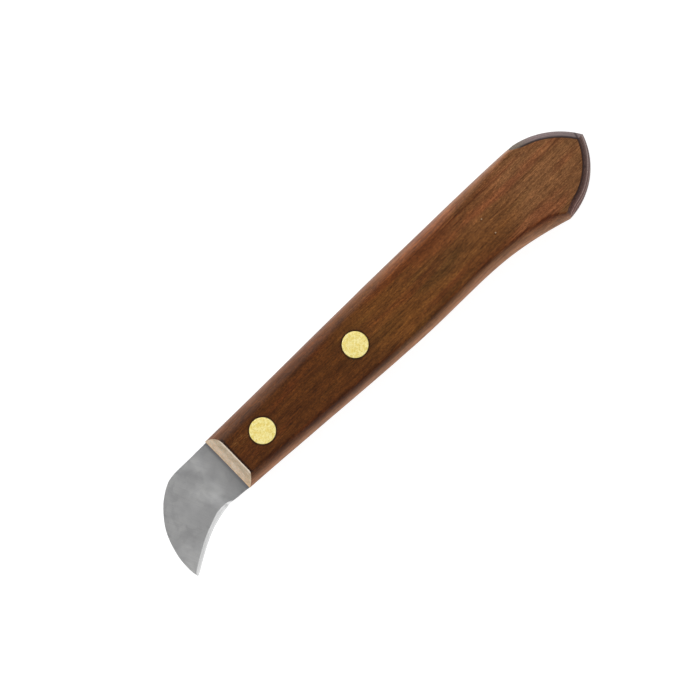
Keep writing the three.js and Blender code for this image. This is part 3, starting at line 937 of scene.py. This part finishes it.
def wood_stained():
    mat = Shader("stained_wood")
    bent, streaks, fine = grain(mat)
    bands, crowd, hue, growth, fibre = mat.noises([
        ((0.010, 0.34, 0.28), (3.1, 0, 5), 3, 0.55),
        ((0.05, 0.55, 0.5), (5, 0, 17), 2, 0.5),
        ((0.03, 0.22, 0.22), (40, 3, 3), 3, 0.55),
        ((0.022, 2.1, 0.9), (3, 7, 2), 2, 0.5),
        ((0.035, 3.1, 2.3), (9, 4, 1), 2, 0.6),
    ], at=bent)
    cloud, mottle, grit, dust, sway, speck, darkening, hair, swell = mat.noises([
        ((0.05, 0.10, 0.10), (1.7, 8, 4), 3, 0.5),
        ((0.28, 0.85, 0.85), (21, 5, 2), 3, 0.6),
        ((1.3, 3.0, 3.0), (1, 15, 12), 2, 0.6),
        ((2.6, 5.6, 5.6), (3, 1, 4), 2, 0.6),
        ((0.10, 0.10, 0.30), (0, 0, 4), 3, 0.6),
        ((1.6, 3.0, 4.0), (0, 0, 0), 3, 0.6),
        ((0.10, 0.5, 0.5), (2, 2, 2), 3, 0.6),
        ((0.5, 6.5, 5.0), (0, 2, 0), 2, 0.6),
        ((0.12, 0.5, 0.5), (0, 0, 0), 3, 0.5),
    ])
    # open pores: short thin dashes, in some growth bands more than in others
    dashes = mat.cells((0.20, 2.9, 2.2), offset=(0, 3, 1), at=bent)
    pores = mat.ramp(dashes, mat.ramp(crowd, 0.40, 0.72, 0.02, 0.20), 0.0)

    # the stain is darker towards the blade
    along = mat.swayed(mat.ramp(mat.x, -64, 56, smooth=False), cloud, 0.28, clamp=True)
    patch = mat.swayed(mat.distance((4.7, 0.6, TOP), scale=(0.40, 1.0, 1.0)), cloud, 5.0)
    color = mat.tints(mat.colors(along, STAIN), [
        # growth bands and fibres
        (bands, (0.84, 0.81, 0.76), 0.52, 0.32),
        (bands, (1.12, 1.13, 1.10), 0.48, 0.66),
        (streaks, (0.74, 0.70, 0.64), 0.52, 0.34, 0, 0.85),
        (streaks, (1.24, 1.22, 1.20), 0.50, 0.68, 0, 0.85),
        (fine, (0.50, 0.45, 0.42), 0.50, 0.30, 0, 0.75),
        (fine, (1.65, 1.62, 1.60), 0.52, 0.72, 0, 0.65),
        # blotches, from coarse to fine
        (mottle, (0.80, 0.78, 0.76), 0.50, 0.32),
        (mottle, grey(1.20), 0.50, 0.68),
        (grit, (0.76, 0.74, 0.72), 0.50, 0.34),
        (grit, grey(1.24), 0.50, 0.66),
        (dust, (0.74, 0.72, 0.70), 0.50, 0.32),
        (dust, grey(1.26), 0.50, 0.68),
        # redder and more olive zones, and a darker patch near the middle
        (hue, (1.10, 0.90, 0.92), 0.52, 0.70),
        (hue, (0.93, 1.02, 0.98), 0.48, 0.32),
        (patch, (0.84, 0.93, 0.97), 4.6, 2.6),
    ])
    # a few darker growth lines by the two side edges and towards the butt
    belly_edge = mat.times(mat.ramp(mat.y, -4.6, -6.4), mat.ramp(mat.x, 34.0, 40.0, 1.0, 0.35))
    near = mat.plus(mat.ramp(mat.y, 5.6, 7.0), belly_edge)
    near = mat.times(near, mat.ramp(mat.x, -6, 6))
    near = mat.math("MAXIMUM", near, mat.ramp(mat.x, 44, 58, 0, 0.6))
    lines = mat.times(mat.ramp(growth, 0.45, 0.35), near)
    color = mat.tint(color, (0.54, 0.44, 0.40), lines)
    color = mat.tint(color, (0.50, 0.44, 0.44), mat.times(pores, 0.8))
    # cooler towards the butt, warmer towards the blade
    color = mat.tints(color, [
        (mat.x, (0.95, 0.96, 0.98), 34.0, 41.0),
        (mat.x, (1.04, 0.98, 0.86), -14.0, -26.0),
    ])
    # lighter on the outer side of the roundings, partly wear and partly painted sheen:
    # attribute, share of the pale colour, brightening, pale colour
    uneven = mat.times(mat.ramp(mottle, 0.30, 0.70, 0.82, 1.18),
                       mat.ramp(fibre, 0.34, 0.66, 0.62, 1.38))
    for name, share, bright, pale in (
        ("wear_sheen_spine", 0.45, (1.5, 1.55, 1.6), rgb(174, 130, 110)),
        ("wear_sheen_belly", 0.60, (1.6, 1.6, 1.6), rgb(194, 138, 100)),
    ):
        wear_sheen = mat.mix(share, mat.tint(color, bright), pale)
        color = mat.mix(mat.times(mat.attr(name), uneven), color, wear_sheen)
    # end grain on the butt faces, where the stain sinks in, with a painted reflection greying the
    # upper face
    upper, lower = mat.attr("rim_up"), mat.attr("rim_low")
    level = mat.minus(mat.z, MID)
    color = upper_end_grain_and_sheen(mat, color, upper, level, sway, speck)
    color = lower_end_grain(mat, color, lower, level, sway, speck)
    # darker along the lower edge of the flat, and in a band near the lower butt corner
    dark_flat_edge = mat.times(mat.attr("dark_flat_edge"), mat.ramp(darkening, 0.32, 0.6, 0.3, 1.0))
    color = mat.tint(color, (0.68, 0.54, 0.40), dark_flat_edge)
    color = mat.tint(color, (0.80, 0.68, 0.54), mat.attr("dark_corner_band"))
    # painted shade with some glue stain in the gap round each rivet
    color = mat.mix(mat.times(mat.attr("rivet_shade_and_stain"), 0.85), color, rgb(22, 11, 6))
    color = small_marks(mat, color, dust, hair)

    rim = mat.ramp(mat.math("MAXIMUM", upper, lower), -0.05, 0.1)
    rough = mat.weighted(0.40, (fine, 0.14), (pores, 0.2), (rim, 0.12))
    relief = mat.bump(mat.minus(mat.times(fine, 0.35), pores), depth=0.040, strength=0.7)
    normal = mat.bump(swell, depth=0.10, strength=0.45, normal=relief)
    return mat.finish(color=color, rough=rough, normal=normal, ior=1.45, spec=0.16)


def wood_bare():
    """Cut across the grain: pale, speckled with open pores."""
    mat = Shader("bare_end_grain")
    speck = mat.cells((0.9, 4.6, 3.4))
    tone, fine, flecks = mat.noises([
        ((0.35, 0.7, 1.1), (0, 0, 0), 4, 0.65),
        ((1.3, 6.0, 4.5), (0, 0, 0), 3, 0.65),
        ((1.8, 2.6, 3.2), (3, 1, 5), 2, 0.55),
    ])
    color = mat.mix(mat.ramp(tone, 0.30, 0.72), rgb(203, 182, 157), rgb(229, 210, 188))
    color = mat.tints(color, [
        (fine, (0.68, 0.63, 0.56), 0.50, 0.28),
        (fine, grey(1.20), 0.52, 0.72),
        (speck, (0.66, 0.58, 0.50), 0.20, 0.05, 0, 0.8),
        (flecks, (1.05, 0.93, 0.80), 0.54, 0.64),
        (flecks, (0.92, 0.98, 1.02), 0.46, 0.36),
        (mat.y, (0.98, 0.90, 0.80), -3.0, -6.4),
    ])
    # painted shade short of the arris, and painted light by the blade where the corner is shaded
    away = mat.from_mid()
    shadow = mat.band(away, (2.8, 3.8), (HALF - 0.5, HALF - 0.9))
    color = mat.tint(color, (0.78, 0.78, 0.75), shadow)
    color = mat.tints(color, [
        (away, (1.03, 0.97, 0.90), 2.4, 1.2),
        (away, (1.16, 1.14, 1.10), 1.75, 1.20),
    ])
    # painted highlight along the arris against the stained flat
    arris_highlight = mat.ramp(mat.from_mid(), HALF - 0.50, HALF - 0.32, 0, 0.80)
    color = mat.mix(arris_highlight, color, rgb(238, 226, 208))
    normal = mat.bump(mat.minus(fine, mat.ramp(speck, 0.18, 0.04)), depth=0.05, strength=0.8)
    return mat.finish(color=color, rough=0.72, normal=normal, ior=1.45, spec=0.3)


def wood_cut():
    """Faces left by the saw and the drill."""
    mat = Shader("sawn_wood")
    _, streaks, fine = grain(mat)
    saw = mat.noise((1.9, 0.12, 0.12), (0, 0, 0), detail=3, rough=0.7)
    color = mat.mix(mat.ramp(streaks, 0.35, 0.68), rgb(74, 44, 24), rgb(118, 80, 50))
    color = mat.mix(mat.ramp(saw, 0.6, 0.42, 0, 0.4), color, rgb(48, 27, 15))
    normal = mat.bump(mat.plus(saw, fine), depth=0.08, strength=0.9)
    return mat.finish(color=color, rough=0.85, normal=normal, spec=0.3)


# ------------------------------------------------------------------ metals and floor


def steel():
    mat = Shader("ground_steel")
    cloud, blotch = mat.noises([
        ((0.15, 0.12, 0.16), (4, 9, 0), 4, 0.5, 0.5),
        ((0.5, 0.42, 0.4), (1, 2, 0), 4, 0.6, 0.9),
    ])
    # grinding marks run across the blade, from the back to the edge
    marks, hair = mat.noises([
        ((11.0, 0.22, 0.22), (0, 0, 0), 3, 0.65),
        ((26.0, 0.35, 0.35), (5, 5, 5), 2, 0.5),
    ], at=mat.turned(-24))
    bevel = mat.attr("sharpened")
    bent = mat.bent(scale=grey(0.3), amount=(3.0, 3.0, 0))
    bent_x, bent_y, _ = mat.split(bent)
    along = mat.minus(bent_x, mat.times(bent_y, 0.22))
    color = mat.mix(mat.ramp(cloud, 0.3, 0.72), rgb(206, 206, 206), rgb(220, 220, 219))
    color = mat.tints(color, [
        (blotch, (0.945, 0.945, 0.95), 0.55, 0.36),
        (marks, grey(0.88), 0.55, 0.3, 0, 0.6),
        # darker ricasso as painted shade beside the brighter ground part, with a spot near its
        # lower edge
        (along, (0.82, 0.82, 0.825), -69.6, -66.2),
        (mat.distance((-64.0, -3.0, 0), scale=(1, 0.75, 0)), (0.86, 0.86, 0.865), 5.0, 1.0),
        # soft dark smudge in front of it, and a broad lighter area of painted reflection on the
        # ground part
        (mat.from_line((-72.6, 9.0), (-68.3, 2.7), bent), (0.90, 0.90, 0.905), 2.2, 0.3),
        (mat.distance((-73.0, 0.2, 0), scale=(1, 1, 0), at=bent), grey(1.08), 7.0, 1.0),
    ])
    # painted reflection: a bright zone above the start of the edge
    glow = mat.ramp(mat.from_line((-72.6, 1.6), (-70.3, -4.6), bent), 2.4, 0.4)
    glow = mat.times(glow, mat.ramp(mat.y, 3.0, -5.0, 0.25, 1.0))
    color = mat.tint(color, grey(1.30), glow)
    # painted shade on the steel right at the wood: darker, then bluish
    color = mat.tints(color, [(mat.x, grey(0.90), FRONT_X - 3.2, FRONT_X - 0.8)])
    shoulder_shade = mat.band(mat.x, (FRONT_X - 1.1, FRONT_X - 0.15, 0, 0.85),
                    (FRONT_X + 1.2, FRONT_X + 0.4))
    color = mat.mix(shoulder_shade, color, rgb(138, 139, 144))
    # sharpened bevel, near white and slightly darker along its middle, as a painted reflection
    ground = mat.mix(mat.ramp(mat.x, -76.0, -71.5), rgb(245, 245, 245), rgb(246, 246, 246))
    middle = mat.band(mat.attr("bevel_pos"), (0.18, 0.48), (0.90, 0.60))
    middle = mat.times(middle, mat.ramp(blotch, 0.30, 0.60, 0.5, 1.0))
    ground = mat.tint(ground, grey(0.86), middle)
    color = mat.mix(mat.times(bevel, 0.96), color, ground)

    rough = mat.weighted(0.34, (blotch, 0.10), (marks, 0.06))
    rough = mat.mix(bevel, rough, (0.25, 0.25, 0.25, 1))
    scratches = mat.plus(mat.times(marks, 0.7), mat.times(hair, 0.3))
    relief = mat.bump(scratches, depth=0.006, strength=0.6)
    normal = mat.bump(cloud, depth=0.08, strength=0.35, normal=relief)
    # the ground surface stays greyer when it is seen edge on
    mat.bsdf.inputs["Specular Tint"].default_value = (0.40, 0.40, 0.41, 1)
    metal = mat.ramp(bevel, 0.0, 1.0, low=1.0, high=0.62, smooth=False)
    return mat.finish(color=color, rough=rough, metal=metal, normal=normal)


def brass():
    mat = Shader("sanded_brass")
    mottle, fine = mat.noises([
        (grey(1.1), (0, 0, 0), 5, 0.65, 0.8),
        (grey(3.6), (7, 1, 0), 3, 0.6),
    ])
    marks = mat.noise((9.0, 0.8, 0.8), (0, 0, 0), detail=3, rough=0.6, at=mat.turned(38))
    color = mat.mix(mat.ramp(mottle, 0.34, 0.60), rgb(242, 219, 116), rgb(255, 242, 170))
    # pattern, ramp start and end, most of the colour, colour
    for pattern, start, end, most, shade_color in (
        (fine, 0.50, 0.30, 0.75, rgb(214, 190, 78)),
        (marks, 0.60, 0.36, 0.25, rgb(222, 200, 96)),
        (fine, 0.60, 0.78, 0.7, rgb(255, 253, 226)),
    ):
        color = mat.mix(mat.ramp(pattern, start, end, 0, most), color, shade_color)
    # painted shade of the gap round the edge of each head
    for x, y in RIVETS.values():
        radius = mat.distance((x, y, 0), scale=(1, 1, 0))
        darkening = mat.band(radius, (HEAD_R - 0.11, HEAD_R - 0.04), (HEAD_R + 2, HEAD_R + 1))
        color = mat.tint(color, (0.34, 0.27, 0.22), darkening)
    rough = mat.weighted(0.38, (mottle, 0.2))
    height = mat.plus(mat.times(marks, 0.6), mat.times(fine, 0.4))
    normal = mat.bump(height, depth=0.02, strength=0.7)
    return mat.finish(color=color, rough=rough, metal=0.30, normal=normal)


def pale_floor():
    """Matt floor that also glows, so that shadows on it stay faint."""
    mat = Shader("pale_floor")
    speckle = mat.noise(grey(0.9), (0, 0, 0), detail=2, rough=0.5)
    color = mat.mix(mat.ramp(speckle, 0.3, 0.7), (*grey(0.28), 1), (*grey(0.31), 1))
    mat.finish(color=color, rough=0.9, spec=0.05)
    glow = mat.node("Emission", [("Color", (1, 1, 1, 1)), ("Strength", 0.88)])
    both = mat.node("AddShader", [(0, mat.bsdf.outputs[0]), (1, glow.outputs[0])])
    mat.put(mat.out.inputs[0], both.outputs[0])
    return mat.mat


# ------------------------------------------------------------------ attributes

# wear and painted sheen of the roundings: share of the way in from the outline, amount
BELLY_WEAR_SHEEN_FRONT = [(0, 1.0), (0.15, 0.86), (0.4, 0.42), (0.65, 0.0), (0.95, 0)]
BELLY_WEAR_SHEEN_REAR = [(0, 0.85), (0.15, 0.80), (0.35, 0.52), (0.55, 0.30), (0.8, 0.10), (1.0, 0)]
SPINE_WEAR_SHEEN_FRONT = [(0, 0.42), (0.12, 0.38), (0.3, 0.25), (0.5, 0.12), (0.7, 0.03), (1.0, 0)]
SPINE_WEAR_SHEEN_REAR = [
    (0, 0.42), (0.12, 0.42), (0.3, 0.44), (0.5, 0.20), (0.7, 0.08), (1.0, 0.04), (1.3, 0),
]


def points_of(ob):
    flat = np.zeros(len(ob.data.vertices) * 3)
    ob.data.vertices.foreach_get("co", flat)
    return flat.reshape(-1, 3) / MM


def attribute(ob, name, values):
    layer = ob.data.attributes.new(name, "FLOAT", "POINT")
    layer.data.foreach_set("value", np.asarray(values, np.float32))


# amount of wear and painted sheen, blended from the front table to the rear one
def wear_sheen_at(into, front, rear, rearward):
    return table(front)(into) * (1 - rearward) + table(rear)(into) * rearward


def rim_attributes(ob, x, y, height):
    """Depth outwards over the two butt faces, in mm; -3 well away from them."""
    upper_crown, lower_crown = UPPER.crown(x), LOWER.crown(x)
    upper = np.hypot(x - UPPER.x, y - UPPER.y) - (UPPER.radius - upper_crown)
    lower = np.hypot(x - LOWER.x, y - LOWER.y) - (LOWER.radius - lower_crown)
    lean = 1 - height * height
    on_upper = upper - upper_crown * lean > lower - lower_crown * lean + 0.03
    near = (x > TAKE_OFF_X - 0.6) & (y > -6)
    upper = np.where(near, np.minimum(upper, (x - TAKE_OFF_X) * 0.62 + 0.3), -3)
    attribute(ob, "rim_depth", np.clip(np.where(y < 3, lower, -3), -3, 3))
    near = (x > 44.5) & (y < 3) & ~on_upper
    lower = np.where(near, np.minimum(lower, (x - 45.35) * 0.3), -3)
    attribute(ob, "rim_up", np.clip(upper, -3, 3))
    attribute(ob, "rim_low", np.clip(lower, -3, 3))


def handle_attributes(ob):
    x, y, z = points_of(ob).T
    away = np.abs(z - MID)
    height = away / HALF
    rim_attributes(ob, x, y, height)

    # wear and painted sheen on the roundings, weaker on the lower butt corner and at mid-height
    into_belly = (y - belly_y(x)) / belly_round(x)
    into_spine = (spine_y(x) - y) / spine_round(x)
    wear_sheen = wear_sheen_at(into_belly, BELLY_WEAR_SHEEN_FRONT, BELLY_WEAR_SHEEN_REAR, smoothstep(-20, 24, x))
    corner = 1 - 0.55 * smoothstep(36, 43, x)
    side = 1 - 0.40 * (1 - smoothstep(0.12, 0.34, height))
    attribute(ob, "wear_sheen_belly", wear_sheen * corner * side * (into_belly < 1.2))
    wear_sheen = wear_sheen_at(into_spine, SPINE_WEAR_SHEEN_FRONT, SPINE_WEAR_SHEEN_REAR, smoothstep(-20, 10, x))
    side = 1 - 0.35 * (1 - smoothstep(0.20, 0.50, height))
    attribute(ob, "wear_sheen_spine", wear_sheen * side * (into_spine < 1.4))

    # darker: a band near the lower butt corner and a line by the flat; a ring of painted shade with
    # some glue stain at each rivet
    near_corner = smoothstep(34.5, 38.5, x) * (1 - smoothstep(44.5, 46.5, x))
    band = smoothstep(0.35, 0.60, into_belly) * (1 - smoothstep(0.95, 1.30, into_belly))
    attribute(ob, "dark_corner_band", near_corner * band)
    edge = np.abs(y - (belly_y(x) + 0.95 * belly_round(x)))
    dark_flat_edge = (1 - smoothstep(0.20, 0.85, edge)) * (away > HALF - 1.6)
    attribute(ob, "dark_flat_edge", dark_flat_edge * (x < 45.5) * smoothstep(-61, -52, x))
    ring = np.zeros(len(x))
    for rivet_x, rivet_y in RIVETS.values():
        distance = np.hypot(x - rivet_x, y - rivet_y)
        ring = np.maximum(ring, 1 - smoothstep(3.6, 3.95, distance))
    attribute(ob, "rivet_shade_and_stain", ring)


def blade_attributes(ob):
    """Mask of the sharpened bevel, and the place across it: 0 at the edge would be the far end."""
    x, y, _ = points_of(ob).T
    shares = np.linspace(0, 1, 600)
    edge = by_length(BLADE_EDGE, shares)
    distance = np.hypot(x[:, None] - edge[None, :, 0], y[:, None] - edge[None, :, 1])
    nearest = distance.argmin(1)
    width = table(BEVEL_WIDTH)(shares)[nearest]
    inside = width - distance[np.arange(len(x)), nearest]
    attribute(ob, "sharpened", smoothstep(-0.02, 0.03, inside) * (x < -68.0))
    attribute(ob, "bevel_pos", np.clip(1 - inside / width, 0, 2))


# ------------------------------------------------------------------ build


def register(ob, node):
    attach(ob, "root")
    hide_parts(node)


stained, bare, sawn = wood_stained(), wood_bare(), wood_cut()
steel_mat, brass_mat = steel(), brass()

handle = build_handle()
for material in (stained, bare, sawn):
    handle.data.materials.append(material)
cut(handle, [kerf_cutter(), rivet_hole("front"), rivet_hole("rear")], sawn)
shade(handle, 34)
handle_attributes(handle)

blade = build_blade()
blade.data.materials.append(steel_mat)
cut(blade, [tang_hole(where) for where in RIVETS], steel_mat)
shade(blade, 30)
blade_attributes(blade)

register(handle, "handle")
register(blade, "blade")
for where in RIVETS:
    for half, kind in zip(build_rivet(where), ("female", "male")):
        half.data.materials.append(brass_mat)
        shade(half, 40)
        register(half, f"{where}_rivet_{kind}")

# ------------------------------------------------------------------ stage (in metres)

bpy.ops.mesh.primitive_plane_add(size=6, location=(0, 0, -0.00005))
floor = bpy.context.object
floor.name = "floor"
floor.data.materials.append(pale_floor())


def build_world():
    """Pale all round, dark straight above, and a broad soft box over the spine side."""
    world = bpy.data.worlds.new("studio")
    bpy.context.scene.world = world
    world.use_nodes = True
    tree = world.node_tree
    tree.nodes.clear()

    def node(kind, *inputs, **props):
        new = tree.nodes.new("ShaderNode" + kind)
        for name, value in props.items():
            setattr(new, name, value)
        for i, value in enumerate(inputs):
            if isinstance(value, bpy.types.NodeSocket):
                tree.links.new(value, new.inputs[i])
            else:
                new.inputs[i].default_value = value
        return new

    def ramp(value, start, end, low, high):
        span = (start, end, low, high)
        return node("MapRange", value, *span, interpolation_type="SMOOTHSTEP").outputs[0]

    def calc(op, a, b):
        return node("Math", a, b, operation=op).outputs[0]

    direction = node("TexCoord").outputs["Generated"]
    height = node("SeparateXYZ", direction).outputs[2]
    base = ramp(height, start=0.62, end=0.96, low=0.88, high=0.12)
    # reflections see a darker horizon
    mirrored = node("LightPath").outputs["Is Glossy Ray"]
    horizon = ramp(height, start=0.05, end=0.44, low=0.52, high=0.0)
    base = calc("SUBTRACT", base, calc("MULTIPLY", mirrored, horizon))
    # soft box: fades in between 46 and 20 degrees from its middle
    middle = tuple(Vector((0.30, 0.80, 0.62)).normalized())
    facing = node("VectorMath", direction, middle, operation="DOT_PRODUCT").outputs["Value"]
    outer, inner = math.cos(math.radians(46)), math.cos(math.radians(20))
    box = ramp(facing, start=outer, end=inner, low=0.0, high=1.9)
    background = node("Background", (1, 1, 1, 1), calc("ADD", base, box))
    node("OutputWorld", background.outputs[0])


def build_key_light():
    """Square light over the spine side, aimed at the origin."""
    light = bpy.data.lights.new("key", "AREA")
    light.shape = "RECTANGLE"
    light.size = light.size_y = 0.6
    light.energy = 1.2
    ob = bpy.data.objects.new("key", light)
    bpy.context.scene.collection.objects.link(ob)
    place = Vector((0.05, 0.60, 0.70))
    ob.location = place
    ob.rotation_euler = (-place).to_track_quat("-Z", "Y").to_euler()


def build_camera():
    """Camera straight above, turned so that the knife lies on the diagonal."""
    lens = bpy.data.cameras.new("camera")
    lens.lens = 1000
    lens.sensor_width = 36
    lens.sensor_fit = "HORIZONTAL"
    camera = bpy.data.objects.new("camera", lens)
    bpy.context.scene.collection.objects.link(camera)
    view_width = 0.18039
    distance = view_width * lens.lens / lens.sensor_width
    right, up = (0.71738, -0.69668, 0), (0.69668, 0.71738, 0)
    place = (-0.01915, 0.000884, MID * MM + distance)
    rows = [(*row, 0) for row in (right, up, (0, 0, 1), place)]
    matrix = Matrix(rows).transposed()
    matrix[3][3] = 1
    camera.matrix_world = matrix
    bpy.context.scene.camera = camera


build_world()
build_key_light()
build_camera()

view = bpy.context.scene.view_settings
view.view_transform = "Standard"
view.look = "None"
